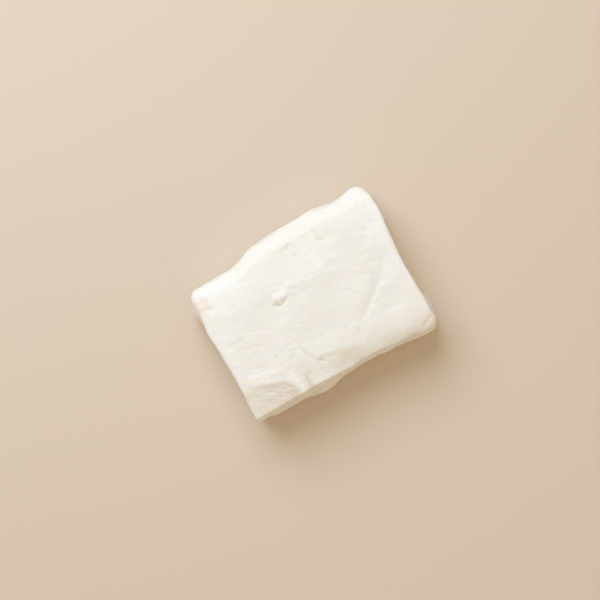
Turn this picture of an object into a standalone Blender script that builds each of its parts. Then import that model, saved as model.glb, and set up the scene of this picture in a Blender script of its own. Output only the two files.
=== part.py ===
"""A block of akkawi, a soft white cheese that is pressed in cloth and kept in brine.

The block was cut from a wider pressed slab. Its long north side (+Y) is the slab's own side, rounded
and wavy from the cloth. The other three sides were cut with a knife, so their edges are crisp: the
south side (-Y) leans outwards and bulges near its foot, and the east and west ends (+X and -X) are
nearly upright. The top keeps the folds of the cloth, a crumb of curd and two corners that sank.

It is one solid. A cube primitive is sliced into a fine net, its edges are rounded, its sides are
pushed out to the outlines of the real block, and its top is raised and lowered by named folds, facets
and lumps. The foot is flat, because soft curd settles on what it lies on. Sizes are in metres. The
origin is at the middle of the foot, and +Z is up.
"""

import math
from typing import NamedTuple

import bmesh
import bpy
from mathutils import Vector

# Driving sizes of the block before its sides are pushed out.
LENGTH = 0.1064
WIDTH = 0.0760
HEIGHT = 0.0380

# Number of slices along each axis, and how far they crowd towards the edges (0 is even).
SLICES = (46, 34, 16)
CROWDING = 0.55

# Radii of the four long edges: wide where the cloth pressed the slab, narrow along the cut.
SOUTH_FOOT_RADIUS = 0.0032
SOUTH_TOP_RADIUS = 0.0014
NORTH_FOOT_RADIUS = 0.0070
NORTH_TOP_RADIUS = 0.0090

# Radii around the two cut ends: at the south corner, along the cut, and at the north corner.
EAST_END_RADII = (0.0048, 0.0014, 0.0046)
WEST_END_RADII = (0.0008, 0.0014, 0.0045)
CORNER_REACH = 0.0110  # how far from a corner its radius starts to show

# Heights, as a share of HEIGHT, where the belly of a side ends and where the upright part starts.
BELLY_END = 0.16
UPRIGHT_START = 0.88
FOOT_INSET = 0.0011

# Curd lower than this has settled onto the plane of the foot.
SETTLED = 0.0004

# How steeply a side's outline fades away towards the middle of the block.
OUTLINE_FADE = 3

CHEESE_WHITE = (0.905, 0.870, 0.785, 1.0)


class Swell(NamedTuple):
    """A stretch of an outline that stands out by rise, around centre, as wide as spread."""

    centre: float
    spread: float
    rise: float


class Step(NamedTuple):
    """A change of an outline by rise, spread smoothly from start to end."""

    start: float
    end: float
    rise: float


class Fold(NamedTuple):
    """A straight furrow of the cloth (negative rise) or a ridge (positive rise) on the top."""

    start: tuple
    end: tuple
    half_width: float
    rise: float


class Facet(NamedTuple):
    """A part of the top that sinks with a steady slope beyond the line through point."""

    point: tuple
    downhill: float  # compass angle in degrees from +X towards which it falls
    slope: float
    rounding: float
    fade_from: float  # x where the facet is at full strength
    fade_to: float  # x where it has died out


class Lump(NamedTuple):
    """A bump (positive rise) or a hollow (negative rise) on the top."""

    place: tuple
    spread: tuple
    turn: float  # degrees from +X to its long axis
    rise: float


# Outlines of the four sides. Each is a level plus swells and steps along the side.
# "top" is the outline at the upper edge, and "belly" the one low down, above the foot.
NORTH_BELLY = (
    -0.0018,
    (
        Step(-0.0292, -0.0100, 0.0038),
        Step(-0.0180, 0.0060, 0.0014),
        Step(0.0190, 0.0410, -0.0030),
        Swell(0.0465, 0.0055, 0.0019),
    ),
)
NORTH_TOP = (-0.0030, NORTH_BELLY[1])
SOUTH_TOP = (
    0.0005,
    (Step(-0.0240, 0.0020, 0.0013), Step(0.0120, 0.0340, 0.0016), Step(0.0370, 0.0450, 0.0021)),
)
SOUTH_BELLY = (
    0.0016,
    (
        Step(-0.0540, -0.0420, 0.0032),
        Swell(-0.0154, 0.0050, 0.0032),
        Step(0.0040, 0.0220, 0.0006),
        Step(0.0260, 0.0480, 0.0034),
    ),
)
EAST_TOP = (-0.0015, (Step(-0.008, 0.028, 0.0034),))
EAST_BELLY = (
    -0.0009,
    (Step(-0.008, 0.028, 0.0034), Swell(0.0192, 0.0030, 0.0026), Swell(-0.0270, 0.0050, 0.0028)),
)
WEST_TOP = (
    0.0013,
    (Step(-0.036, -0.014, -0.0015), Step(0.014, 0.024, -0.0008), Swell(0.012, 0.003, 0.0005)),
)
WEST_BELLY = (
    0.0014,
    (Step(-0.036, -0.014, -0.0015), Step(0.014, 0.024, -0.0008), Swell(0.0245, 0.0055, 0.0036)),
)

# The top sinks towards the north side, where the cloth pulled it round.
NORTH_SINK = Step(0.020, 0.040, -0.0024)

FACETS = (
    Facet((-0.0520, -0.0200), -107.0, 0.30, 0.0012, -0.033, -0.024),  # the sunk south-west corner
    Facet((-0.0150, -0.0205), -120.0, 0.13, 0.0015, -0.019, -0.027),  # the sunk middle of the south edge
    Facet((0.0460, -0.0383), -68.0, 0.34, 0.0010, 0.044, 0.034),  # the clipped south-east corner
    Facet((-0.0430, 0.0270), 160.0, 0.28, 0.0015, -0.044, -0.036),  # the pinched north-west corner
)

FOLDS = (
    Fold((0.0510, 0.0035), (0.0205, -0.0220), 0.0033, -0.0009),  # the long fold near the east end
    Fold((0.0112, 0.0250), (0.0160, 0.0070), 0.0016, 0.0004),  # a low ridge left by a crease
    Fold((-0.0200, -0.0110), (-0.0250, -0.0290), 0.0020, -0.0008),  # the furrow beside the mound
    Fold((-0.0500, -0.0145), (-0.0310, -0.0215), 0.0022, 0.0007),  # the crest above the sunk corner
    Fold((-0.0520, 0.0010), (-0.0300, 0.0020), 0.0018, 0.0004),  # the ripple above the mound
    Fold((-0.0460, 0.0310), (-0.0440, 0.0220), 0.0016, -0.0010),  # the nick beside the north-west corner
)

LUMPS = (
    Lump((-0.0110, 0.0106), (0.0022, 0.0017), 20.0, 0.0021),  # the crumb of curd
    Lump((-0.0142, 0.0072), (0.0018, 0.0012), 25.0, -0.0009),  # the hollow beside the crumb
    Lump((-0.0380, -0.0110), (0.0100, 0.0085), -15.0, 0.0009),  # the mound near the west end
    Lump((-0.0256, -0.0300), (0.0024, 0.0028), 70.0, 0.0011),  # curd pushed up beside the furrow
    Lump((-0.0100, -0.0310), (0.0030, 0.0020), -40.0, 0.0006),  # curd below the pit
    Lump((-0.0093, -0.0276), (0.0016, 0.0013), 0.0, -0.0010),  # the pit at the end of the fold
    Lump((0.0290, 0.0110), (0.0110, 0.0080), -30.0, -0.0007),  # the shallow dip in the east half
    Lump((-0.0463, 0.0345), (0.0040, 0.0032), 30.0, 0.0012),  # the curled north-west corner
)

# Slow waves of the soft curd, as (wave length, direction in degrees, phase, height).
TOP_WAVES = ((0.046, 35.0, 0.6, 0.00022), (0.027, -50.0, 2.1, 0.00016), (0.019, 80.0, 4.0, 0.00010))
SIDE_WAVES = ((0.034, 0.4, 0.00040), (0.019, 2.3, 0.00022), (0.0125, 5.1, 0.00012))
SIDE_WAVE_HEIGHT = 0.022  # height over which a side's waves turn from in to out


def smooth_step(low, high, value):
    """0 below low, 1 above high, and a smooth S between them."""
    t = min(1.0, max(0.0, (value - low) / (high - low)))
    return t * t * (3.0 - 2.0 * t)


def bell(offset, spread):
    """1 at the middle, fading to nothing over about three spreads."""
    return math.exp(-0.5 * (offset / spread) ** 2)


def mix(a, b, share):
    return a + (b - a) * share


def outline(level_and_shapes, along):
    """How far a side stands out at the place along it."""
    level, shapes = level_and_shapes
    out = level
    for shape in shapes:
        if isinstance(shape, Step):
            out += shape.rise * smooth_step(shape.start, shape.end, along)
        else:
            out += shape.rise * bell(along - shape.centre, shape.spread)
    return out


def side_waves(along, height):
    """Shallow waves along a side. They lean over with height, as pressed curd does."""
    total = 0.0
    for length, phase, depth in SIDE_WAVES:
        total += depth * math.sin(math.tau * along / length + phase + math.pi * height / SIDE_WAVE_HEIGHT)
    return total


def side_offset(top, belly, along, height):
    """Outward offset of a side: the belly's outline low down, the top's outline at the upper edge."""
    share = height / HEIGHT
    rise = smooth_step(BELLY_END, UPRIGHT_START, share)
    tuck = FOOT_INSET * (1.0 - smooth_step(0.0, BELLY_END, share))
    quiet = smooth_step(0.0, 0.2, share) * (1.0 - smooth_step(0.75, 1.0, share))
    return mix(outline(belly, along), outline(top, along), rise) - tuck + quiet * side_waves(along, height)


def slice_places(half, count):
    """Places of the cuts across one axis, closer together towards both ends."""
    places = []
    for i in range(1, count):
        t = 2.0 * i / count - 1.0
        places.append(half * (t + CROWDING * math.sin(math.pi * t) / math.pi))
    return places


def sliced_block():
    """The cube primitive at the block's size, standing on z = 0, sliced along all three axes."""
    mesh = bmesh.new()
    bmesh.ops.create_cube(mesh, size=1.0)
    bmesh.ops.scale(mesh, vec=(LENGTH, WIDTH, HEIGHT), verts=mesh.verts)
    for axis, (size, count) in enumerate(zip((LENGTH, WIDTH, HEIGHT), SLICES)):
        normal = Vector((0.0, 0.0, 0.0))
        normal[axis] = 1.0
        for place in slice_places(size / 2, count):
            everything = mesh.verts[:] + mesh.edges[:] + mesh.faces[:]
            bmesh.ops.bisect_plane(mesh, geom=everything, plane_co=normal * place, plane_no=normal)
    bmesh.ops.translate(mesh, vec=(0.0, 0.0, HEIGHT / 2), verts=mesh.verts)
    return mesh


def long_edge_radius(point):
    """The radius of the long edges near a point, mixed between the four of them."""
    north = point.y / WIDTH + 0.5
    up = point.z / HEIGHT
    foot = mix(SOUTH_FOOT_RADIUS, NORTH_FOOT_RADIUS, north)
    top = mix(SOUTH_TOP_RADIUS, NORTH_TOP_RADIUS, north)
    return mix(foot, top, up)


def end_radius(point):
    """The radius around the nearer cut end, which changes towards its two corners."""
    south, middle, north = EAST_END_RADII if point.x > 0.0 else WEST_END_RADII
    near_north = smooth_step(WIDTH / 2 - CORNER_REACH, WIDTH / 2, point.y)
    near_south = smooth_step(WIDTH / 2 - CORNER_REACH, WIDTH / 2, -point.y)
    return mix(mix(middle, north, near_north), south, near_south)


def rounded(point):
    """Moves a point of the sharp box onto the box with rounded edges.

    Squares around each long edge become circles. Around the two ends, the section draws in as it
    nears the end, on a quarter circle of the end's own radius.
    """
    radius = long_edge_radius(point)
    inner = Vector((
        0.0,
        min(max(point.y, radius - WIDTH / 2), WIDTH / 2 - radius),
        min(max(point.z, radius), HEIGHT - radius),
    ))
    offset = Vector((0.0, point.y, point.z)) - inner
    reach = max(abs(offset.y), abs(offset.z))

    depth = min(WIDTH / 2 - abs(point.y), point.z, HEIGHT - point.z)
    from_end = LENGTH / 2 - abs(point.x)
    end = end_radius(point)
    if max(depth, from_end) < end:
        corner = Vector((end - depth, end - from_end)).normalized() * end
        reach -= end - corner.x - depth
        from_end = end - corner.y
    along = math.copysign(LENGTH / 2 - from_end, point.x)
    return inner + offset.normalized() * reach + Vector((along, 0.0, 0.0))


def pushed_out(point):
    """Moves the sides to the outlines of the real block. The middle stays where it is."""
    x, y, z = point
    east = (x / LENGTH + 0.5) ** OUTLINE_FADE
    west = (0.5 - x / LENGTH) ** OUTLINE_FADE
    north = (y / WIDTH + 0.5) ** OUTLINE_FADE
    south = (0.5 - y / WIDTH) ** OUTLINE_FADE
    east *= side_offset(EAST_TOP, EAST_BELLY, y, z)
    west *= side_offset(WEST_TOP, WEST_BELLY, y, z)
    north *= side_offset(NORTH_TOP, NORTH_BELLY, x, z)
    south *= side_offset(SOUTH_TOP, SOUTH_BELLY, x, z)
    return Vector((x + east - west, y + north - south, z))


def facet_height(facet, x, y):
    """Drop beyond the facet's line: the distance past it times the slope, rounded at the line."""
    angle = math.radians(facet.downhill)
    past = (x - facet.point[0]) * math.cos(angle) + (y - facet.point[1]) * math.sin(angle)
    past_rounded = (past + math.hypot(past, facet.rounding)) / 2
    low, high = sorted((facet.fade_from, facet.fade_to))
    strength = smooth_step(low, high, x)
    if facet.fade_from < facet.fade_to:
        strength = 1.0 - strength
    return -facet.slope * past_rounded * strength


def fold_height(fold, x, y):
    """A bell across the fold's line, dying out past its two ends."""
    run_x, run_y = fold.end[0] - fold.start[0], fold.end[1] - fold.start[1]
    length = math.hypot(run_x, run_y)
    along = ((x - fold.start[0]) * run_x + (y - fold.start[1]) * run_y) / length
    across = ((x - fold.start[0]) * run_y - (y - fold.start[1]) * run_x) / length
    past_end = max(0.0, -along, along - length)
    return fold.rise * bell(across, fold.half_width) * bell(past_end, 1.5 * fold.half_width)


def lump_height(lump, x, y):
    """An oval bell, turned by the lump's angle."""
    angle = math.radians(lump.turn)
    dx, dy = x - lump.place[0], y - lump.place[1]
    long_way = dx * math.cos(angle) + dy * math.sin(angle)
    short_way = dy * math.cos(angle) - dx * math.sin(angle)
    return lump.rise * bell(long_way, lump.spread[0]) * bell(short_way, lump.spread[1])


def top_height(x, y):
    """How far the top stands above or below HEIGHT at a place."""
    total = NORTH_SINK.rise * smooth_step(NORTH_SINK.start, NORTH_SINK.end, y)
    total += sum(facet_height(facet, x, y) for facet in FACETS)
    total += sum(fold_height(fold, x, y) for fold in FOLDS)
    total += sum(lump_height(lump, x, y) for lump in LUMPS)
    for length, direction, phase, depth in TOP_WAVES:
        angle = math.radians(direction)
        travel = x * math.cos(angle) + y * math.sin(angle)
        total += depth * math.sin(math.tau * travel / length + phase)
    return total


def shaped(point):
    """Where a point of the sliced box ends up on the cheese."""
    moved = pushed_out(rounded(point))
    share = moved.z / HEIGHT
    moved.z += top_height(moved.x, moved.y) * share * share
    if moved.z < SETTLED:
        moved.z = 0.0
    return moved


def centre_on_foot(mesh):
    """Puts the middle of the block's box at x = y = 0 and its foot on z = 0."""
    for axis in (0, 1):
        places = [vertex.co[axis] for vertex in mesh.verts]
        shift = Vector((0.0, 0.0, 0.0))
        shift[axis] = -(min(places) + max(places)) / 2
        bmesh.ops.translate(mesh, vec=shift, verts=mesh.verts)


def cheese_material():
    """Moist white curd, a little cream."""
    material = bpy.data.materials.new("cheese")
    material.use_nodes = True
    shader = material.node_tree.nodes["Principled BSDF"]
    shader.inputs["Base Color"].default_value = CHEESE_WHITE
    shader.inputs["Roughness"].default_value = 0.45
    shader.inputs["Metallic"].default_value = 0.0
    return material


def make_cheese():
    """The block as one named object in its own collection."""
    mesh = sliced_block()
    for vertex in mesh.verts:
        vertex.co = shaped(vertex.co)
    centre_on_foot(mesh)
    bmesh.ops.recalc_face_normals(mesh, faces=mesh.faces)
    data = bpy.data.meshes.new("cheese")
    mesh.to_mesh(data)
    mesh.free()
    data.shade_smooth()
    data.materials.append(cheese_material())
    cheese = bpy.data.objects.new("cheese", data)
    collection = bpy.data.collections.new("akkawi_cheese")
    bpy.context.scene.collection.children.link(collection)
    collection.objects.link(cheese)
    return cheese


def main():
    for old in list(bpy.data.objects):
        bpy.data.objects.remove(old)
    make_cheese()


main()
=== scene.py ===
"""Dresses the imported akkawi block: a fine moist skin of curd over the solid, and a plain soft studio.

The block is worked out again from the same named sizes as the solid, as whole arrays on a finer net.
Small relief is added to it: folds and creases of the pressing cloth, torn curd, pits, ripples, grain.
The block is one piece, as the real one is. Sizes are in metres, apart from the forms of the top, which
are in millimetres. +Y is the cloth-pressed side and +Z is up. The picture is taken from straight above.
"""

import logging
import math
from abc import ABC, abstractmethod
from dataclasses import dataclass
from enum import Enum

import bpy
import numpy as np
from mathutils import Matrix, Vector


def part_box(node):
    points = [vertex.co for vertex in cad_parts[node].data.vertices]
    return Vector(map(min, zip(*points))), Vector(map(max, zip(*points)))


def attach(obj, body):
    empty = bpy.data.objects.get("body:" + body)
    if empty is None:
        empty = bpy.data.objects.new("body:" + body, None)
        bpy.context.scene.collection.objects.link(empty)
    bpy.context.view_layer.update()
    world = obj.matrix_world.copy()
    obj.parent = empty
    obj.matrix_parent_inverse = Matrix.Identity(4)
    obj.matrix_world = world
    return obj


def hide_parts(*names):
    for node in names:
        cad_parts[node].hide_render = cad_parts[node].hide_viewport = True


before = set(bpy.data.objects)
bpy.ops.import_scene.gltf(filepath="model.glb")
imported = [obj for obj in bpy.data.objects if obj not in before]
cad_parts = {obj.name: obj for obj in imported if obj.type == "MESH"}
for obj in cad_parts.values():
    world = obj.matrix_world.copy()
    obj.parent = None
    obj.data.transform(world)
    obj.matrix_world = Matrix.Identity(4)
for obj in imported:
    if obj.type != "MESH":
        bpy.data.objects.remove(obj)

CAD_NODE = "cheese"
BODY = "root"
MILLIMETRE = 0.001
UP = 2  # the vertical axis
NOISE_TABLE = 256  # random directions of the noise, a power of two
FORM_REACH = 4.0  # a bell has died out past this many spreads
PATCH_REACH = 2.0  # a rough patch, whose edge is steeper, past this many
SHARPNESS = 5.0  # a pinched line is rounded over its half width divided by this
NO_LENGTH = 1e-12  # stands in for a length of 0 that something is divided by
NO_AREA = 1e-20  # the same for an area
MIDDLE = (0.0, 0.0)

# The Mix node has sockets of one name for each kind of data, so its colour sockets go by number.
MIX_SHARE, MIX_BELOW, MIX_OVER, MIX_RESULT = 0, 6, 7, 2

Array = np.ndarray
Place = tuple[float, float]
Band = tuple[float, float]
Triple = tuple[float, float, float]
CellSize = Triple | float
Colour = tuple[float, float, float, float]
Tree = bpy.types.NodeTree
Node = bpy.types.Node
Socket = bpy.types.NodeSocket

log = logging.getLogger("akkawi")


def smooth_step(low: float, high: float, value: Array) -> Array:
    """Gives 0 below low, 1 above high, and the S curve t*t*(3 - 2t) between them.

    Args:
        low: Where the curve starts to rise.
        high: Where it has reached 1.
        value: The places to read it at.

    Returns:
        The curve's height at each place.
    """
    t = np.clip((value - low) / (high - low), 0.0, 1.0)
    return t * t * (3.0 - 2.0 * t)


def bell(offset: Array, spread: float) -> Array:
    """Gives the bell curve exp(-offset^2 / (2 spread^2)), which is 1 in the middle."""
    return np.exp(-0.5 * (offset / spread) ** 2)


def mix(a: Array, b: Array, share: Array) -> Array:
    """Goes in a straight line from a, at share 0, to b, at share 1."""
    return a + (b - a) * share


def curve_through(places: tuple[Place, ...], steps: int = 8) -> Array:
    """Draws a smooth line through places, as a Catmull-Rom curve.

    Each stretch is half of (2b + (c - a)t + (2a - 5b + 4c - d)t^2 + (3b - a - 3c + d)t^3), where b and c
    are its own ends, a and d their neighbours, and t runs from 0 to 1.

    Args:
        places: The places that the curve passes, in order.
        steps: How many straight runs each stretch gets.

    Returns:
        The curve's points, one a row.
    """
    given = np.array(places, float)
    padded = np.vstack([2 * given[0] - given[1], given, 2 * given[-1] - given[-2]])
    t = np.linspace(0.0, 1.0, steps, endpoint=False)[None, :, None]
    a, b, c, d = (padded[i : len(padded) - 3 + i, None, :] for i in range(4))
    bend = (2 * a - 5 * b + 4 * c - d) * t**2
    twist = (3 * b - a - 3 * c + d) * t**3
    curve = 0.5 * (2 * b + (c - a) * t + bend + twist)
    return np.vstack([curve.reshape(-1, 2), given[-1:]])


def nearest_on_line(x: Array, y: Array, line: Array) -> tuple[Array, Array]:
    """Measures every place against a line made of short straight runs.

    Args:
        x: East-west places.
        y: North-south places.
        line: The line's points, one a row.

    Returns:
        The distance to the line, positive on its left and negative on its right, and how far along it
        the nearest point is, from 0 to 1.
    """
    starts, runs = line[:-1], np.diff(line, axis=0)
    lengths = np.hypot(runs[:, 0], runs[:, 1])
    along_starts = np.concatenate([[0.0], np.cumsum(lengths)])
    best = np.full(x.shape, np.inf)
    signed, share = np.zeros(x.shape), np.zeros(x.shape)
    for start, run, length, along in zip(starts, runs, lengths, along_starts):
        t = np.clip(((x - start[0]) * run[0] + (y - start[1]) * run[1]) / length**2, 0.0, 1.0)
        dx, dy = x - start[0] - t * run[0], y - start[1] - t * run[1]
        distance = np.hypot(dx, dy)
        closer = distance < best
        best = np.where(closer, distance, best)
        left = np.where(run[0] * dy - run[1] * dx >= 0.0, 1.0, -1.0)
        signed = np.where(closer, distance * left, signed)
        share = np.where(closer, (along + t * length) / along_starts[-1], share)
    return signed, share


def gradient_noise(points: Array, size: CellSize, seed: int) -> Array:
    """Makes smooth random hills and hollows, as gradient noise.

    Space is cut into cells of the given size. Each corner of a cell has a random direction, and the
    height is the dot product of that direction with the way from the corner, blended between the
    eight corners by the curve 6t^5 - 15t^4 + 10t^3.

    Args:
        points: The points to read it at, one a row.
        size: A cell's size, the same along all axes or one for each.
        seed: Picks one of the possible patterns.

    Returns:
        A height for each point, mostly between -0.7 and 0.7.
    """
    random = np.random.default_rng(seed)
    shuffled = np.tile(random.permutation(NOISE_TABLE), 2)
    directions = random.normal(size=(NOISE_TABLE, 3))
    directions /= np.linalg.norm(directions, axis=1, keepdims=True)
    scaled = points / np.asarray(size)
    cell = np.floor(scaled).astype(int)
    inside = scaled - cell
    ease = inside**3 * (inside * (inside * 6.0 - 15.0) + 10.0)
    total = np.zeros(len(points))
    for corner in np.ndindex(2, 2, 2):
        step = np.array(corner)
        index = (cell + step) & (NOISE_TABLE - 1)
        picked = shuffled[shuffled[shuffled[index[:, 0]] + index[:, 1]] + index[:, 2]]
        weight = np.prod(np.where(step == 1, ease, 1.0 - ease), axis=1)
        total += weight * np.einsum("ij,ij->i", directions[picked], inside - step)
    return total


def layered_noise(points: Array, size: CellSize, seed: int, layers: int = 3) -> Array:
    """Adds up gradient noise, each layer half as large and half as high as the one before.

    Args:
        points: The points to read it at, one a row.
        size: The first layer's cell size.
        seed: Picks one of the possible patterns.
        layers: How many layers to add.

    Returns:
        A height for each point.
    """
    cells = np.asarray(size, float)
    return sum(0.5**i * gradient_noise(points, cells * 0.5**i, seed + i) for i in range(layers))


def turned(x: Array, y: Array, middle: Place, degrees: float) -> tuple[Array, Array]:
    """Measures places from a middle, along an axis and across it.

    Args:
        x: East-west places.
        y: North-south places.
        middle: Where the axis starts.
        degrees: The axis's direction, anticlockwise from +X.

    Returns:
        The way along the axis, and the way to its left.
    """
    angle = math.radians(degrees)
    dx, dy = x - middle[0], y - middle[1]
    along = dx * math.cos(angle) + dy * math.sin(angle)
    across = dy * math.cos(angle) - dx * math.sin(angle)
    return along, across


@dataclass(frozen=True)
class Swell:
    """A stretch of an outline that stands out, as a bell around its centre."""

    centre: float
    spread: float
    rise: float

    def at(self, along: Array) -> Array:
        """Gives how far the swell stands out at places along the side."""
        return self.rise * bell(along - self.centre, self.spread)


@dataclass(frozen=True)
class Step:
    """A change of an outline from one level to another, as an S curve."""

    start: float
    end: float
    rise: float

    def at(self, along: Array) -> Array:
        """Gives how far the step has moved the outline at places along the side."""
        return self.rise * smooth_step(self.start, self.end, along)


@dataclass(frozen=True)
class Outline:
    """The line of a side seen from above: a level with swells and steps on it."""

    level: float
    shapes: tuple[Swell | Step, ...] = ()

    def at(self, along: Array) -> Array:
        """Gives how far the side stands out at places along it."""
        return self.level + sum(shape.at(along) for shape in self.shapes)


@dataclass(frozen=True)
class Shelf:
    """A narrow shelf that runs along a side, where one layer of curd ends under the next.

    Its height, thickness, wave height and fade are shares of the block's height. Its depth and wave
    length are in metres, and its wave starts at an angle in radians.
    """

    height: float
    depth: float
    thickness: float = 0.014
    wave_length: float = 0.064
    wave_start: float = 0.0
    wave_height: float = 0.012
    fade: Band = (0.35, 0.75)
    # painted shade along the step, or below 0 painted highlight
    painted_shade: float = 0.0

    def above(self, along: Array, share: Array) -> Array:
        """Gives how far places lie above the shelf, whose own height waves along the side."""
        wave = self.wave_height * np.sin(math.tau * along / self.wave_length + self.wave_start)
        return share - self.height - wave

    def at(self, along: Array, share: Array) -> Array:
        """Works out how far the shelf stands out: its depth below its own height and nothing above it.

        Low down the shelf fades into the belly.

        Args:
            along: Places along the side.
            share: Heights as a share of the block's height.

        Returns:
            The offset to add.
        """
        below = 1.0 - smooth_step(-self.thickness, self.thickness, self.above(along, share))
        return self.depth * below * smooth_step(*self.fade, share)

    def seam(self, along: Array, share: Array) -> Array:
        """Gives the painted shade (above 0) or painted highlight (below 0) along the shelf's own step."""
        return self.painted_shade * bell(self.above(along, share), self.thickness)


@dataclass(frozen=True)
class Side:
    """One side of the block, between its outline low down and its outline at the upper edge."""

    belly: Outline
    top: Outline
    shelves: tuple[Shelf, ...] = ()

    def offset(self, along: Array, height: Array, block: "CheeseBlock") -> Array:
        """Works out how far the side stands out.

        Low down it follows the belly's outline and higher up the top's, with an S curve between them.
        It is tucked in at the foot, and slow waves that lean over with height run along it.

        Args:
            along: Places along the side.
            height: Heights above the foot.
            block: The block that the side belongs to.

        Returns:
            The offset away from the block's middle.
        """
        share = height / block.height
        rise = smooth_step(block.belly_end, block.upright_start, share)
        tuck = block.foot_inset * (1.0 - smooth_step(0.0, block.belly_end, share))
        begun = smooth_step(0.0, block.side_waves_from, share)
        ended = smooth_step(block.side_waves_to, 1.0, share)
        lean = math.pi * height / block.side_wave_height
        waves = sum(
            depth * np.sin(math.tau * along / length + phase + lean)
            for length, phase, depth in block.side_waves
        )
        shelves = sum(shelf.at(along, share) for shelf in self.shelves)
        outline = mix(self.belly.at(along), self.top.at(along), rise)
        return outline - tuck + begun * (1.0 - ended) * waves + shelves


class Profile(Enum):
    """The section across a fold."""

    ROUND = "a bell, as where wet cloth lay in a soft bend"
    SHARP = "two slopes that meet in a line, as where the cloth was pinched"
    LEDGE = "full height on the line's left, fading away from it, and a drop across the line"


class Form(ABC):
    """One form of the top's relief. Its places and heights are in millimetres."""

    @abstractmethod
    def height(self, x: Array, y: Array) -> Array:
        """Gives how far the form raises the top, or below 0 lowers it."""

    def near(self, x: Array, y: Array) -> Array:
        """Picks the places that the form can reach, here all of them."""
        return np.ones(x.shape, bool)

    def painted_shading(self, x: Array, y: Array) -> Array:
        """Gives how much painted shade, darker and yellow, the form lays on, or below 0 how much painted
        highlight, paler; here 0.
        """
        return np.zeros(x.shape)


def in_box(x: Array, y: Array, places: tuple[Place, ...], margin: float) -> Array:
    """Picks the points in the upright box around some places.

    Args:
        x: East-west places of the points.
        y: North-south places of the points.
        places: What the box goes around.
        margin: How far it stands off on every side.

    Returns:
        True for each point inside.
    """
    low, high = np.min(places, axis=0) - margin, np.max(places, axis=0) + margin
    return (x > low[0]) & (x < high[0]) & (y > low[1]) & (y < high[1])


@dataclass(frozen=True)
class Facet(Form):
    """A part of the top that falls away with a steady slope beyond a straight line.

    Along x it has its full slope at fade_from and is gone at fade_to.
    """

    place: Place
    downhill: float
    slope: float
    rounding: float
    fade_from: float
    fade_to: float

    def height(self, x: Array, y: Array) -> Array:
        """Works out the drop: slope times (p + sqrt(p^2 + rounding^2)) / 2, with p the way past the line.

        Args:
            x: East-west places in millimetres.
            y: North-south places in millimetres.

        Returns:
            The height to add in millimetres, zero or less.
        """
        past = turned(x, y, self.place, self.downhill)[0]
        strength = smooth_step(self.fade_to, self.fade_from, x)
        return -self.slope * (past + np.hypot(past, self.rounding)) / 2.0 * strength


@dataclass(frozen=True)
class Fold(Form):
    """A furrow (negative rise) or a ridge (positive rise) along a smooth line on the top."""

    line: tuple[Place, ...]
    half_width: float
    rise: float
    profile: Profile = Profile.ROUND
    reach: float = 2.5
    # painted shade along the line, or below 0 painted highlight
    painted_shade: float = 0.0
    taper: float = 0.15

    def near(self, x: Array, y: Array) -> Array:
        """Picks the places within four half widths, or reaches, of the line's box."""
        width = self.reach if self.profile is Profile.LEDGE else self.half_width
        return in_box(x, y, self.line, FORM_REACH * max(width, self.half_width))

    def height(self, x: Array, y: Array) -> Array:
        """Works out the fold's section at the distance d from its line, fading out at both ends.

        With w the half width, a round fold is rise * exp(-d^2 / 2w^2). A sharp one is
        rise * exp(-sqrt(d^2 + (w/5)^2) / w). A ledge is rise * exp(-d^2 / 2 reach^2) on the left of
        its line, times an S curve from -w to w that makes the drop.

        Args:
            x: East-west places in millimetres.
            y: North-south places in millimetres.

        Returns:
            The height to add in millimetres.
        """
        distance, share = nearest_on_line(x, y, curve_through(self.line))
        ends = smooth_step(0.0, self.taper, share) * (1.0 - smooth_step(1.0 - self.taper, 1.0, share))
        width = self.half_width
        if self.profile is Profile.ROUND:
            section = bell(distance, width)
        elif self.profile is Profile.SHARP:
            section = np.exp(-np.hypot(distance, width / SHARPNESS) / width)
        else:
            section = smooth_step(-width, width, distance) * bell(distance, self.reach)
        return self.rise * section * ends

    def painted_shading(self, x: Array, y: Array) -> Array:
        """Gives how much painted shade, darker and yellow, lies along the fold's line, or below 0 how much
        painted highlight, paler.

        Args:
            x: East-west places in millimetres.
            y: North-south places in millimetres.

        Returns:
            The share of the painted shade colour, or below 0 of the painted highlight colour.
        """
        if self.painted_shade == 0.0:
            return np.zeros(x.shape)
        distance, share = nearest_on_line(x, y, curve_through(self.line))
        return self.painted_shade * bell(distance, self.half_width) * np.sin(math.pi * share)


@dataclass(frozen=True)
class Lump(Form):
    """An oval bump (positive rise) or pit (negative rise) on the top."""

    place: Place
    spread: Place
    turn: float
    rise: float
    # painted shade over the oval, or below 0 painted highlight
    painted_shade: float = 0.0

    def near(self, x: Array, y: Array) -> Array:
        """Picks the places within four spreads of the lump's middle."""
        return in_box(x, y, (self.place,), FORM_REACH * max(self.spread))

    def oval(self, x: Array, y: Array) -> Array:
        """Gives an oval bell: a bell along the turned long axis times one across it.

        Args:
            x: East-west places in millimetres.
            y: North-south places in millimetres.

        Returns:
            The oval's height, 1 in its middle.
        """
        long_way, short_way = turned(x, y, self.place, self.turn)
        return bell(long_way, self.spread[0]) * bell(short_way, self.spread[1])

    def height(self, x: Array, y: Array) -> Array:
        """Gives the bump's height: rise times its oval bell."""
        return self.rise * self.oval(x, y)

    def painted_shading(self, x: Array, y: Array) -> Array:
        """Gives how much painted shade, darker and yellow, the lump lays on, or below 0 how much painted
        highlight, paler.
        """
        return self.painted_shade * self.oval(x, y)


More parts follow.
